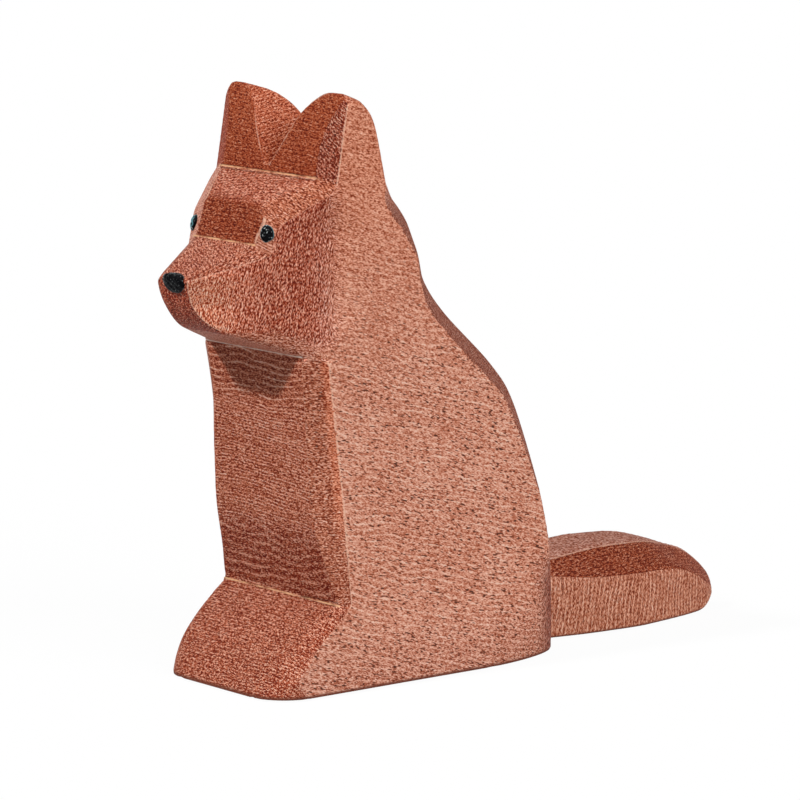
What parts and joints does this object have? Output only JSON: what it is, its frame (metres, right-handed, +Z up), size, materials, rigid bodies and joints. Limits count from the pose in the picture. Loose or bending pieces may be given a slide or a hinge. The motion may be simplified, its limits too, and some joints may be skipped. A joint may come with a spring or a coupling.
{
  "type": "dog figurine",
  "caption": "Small sitting dog carved from a wooden board, with pricked ears, a faceted head, a pegged-on tail and painted eyes and nose, for display or play.",
  "frame": {"origin": "middle of the footprint, on the table", "axes": "+Z up, -Y the way the dog faces, +X the dog's left side"},
  "size_m": [0.0292, 0.106, 0.0877],
  "materials": {
    "body_wood": "sanded and oiled",
    "tail_wood": "sanded and oiled",
    "dowel_wood": "plain",
    "paint": "glossy black paint"
  },
  "bodies": {
    "root": {"body": "body_wood", "tail": "tail_wood", "tail_dowel": "dowel_wood", "eye_left": "paint", "eye_right": "paint", "nose": "paint"}
  },
  "joints": []
}
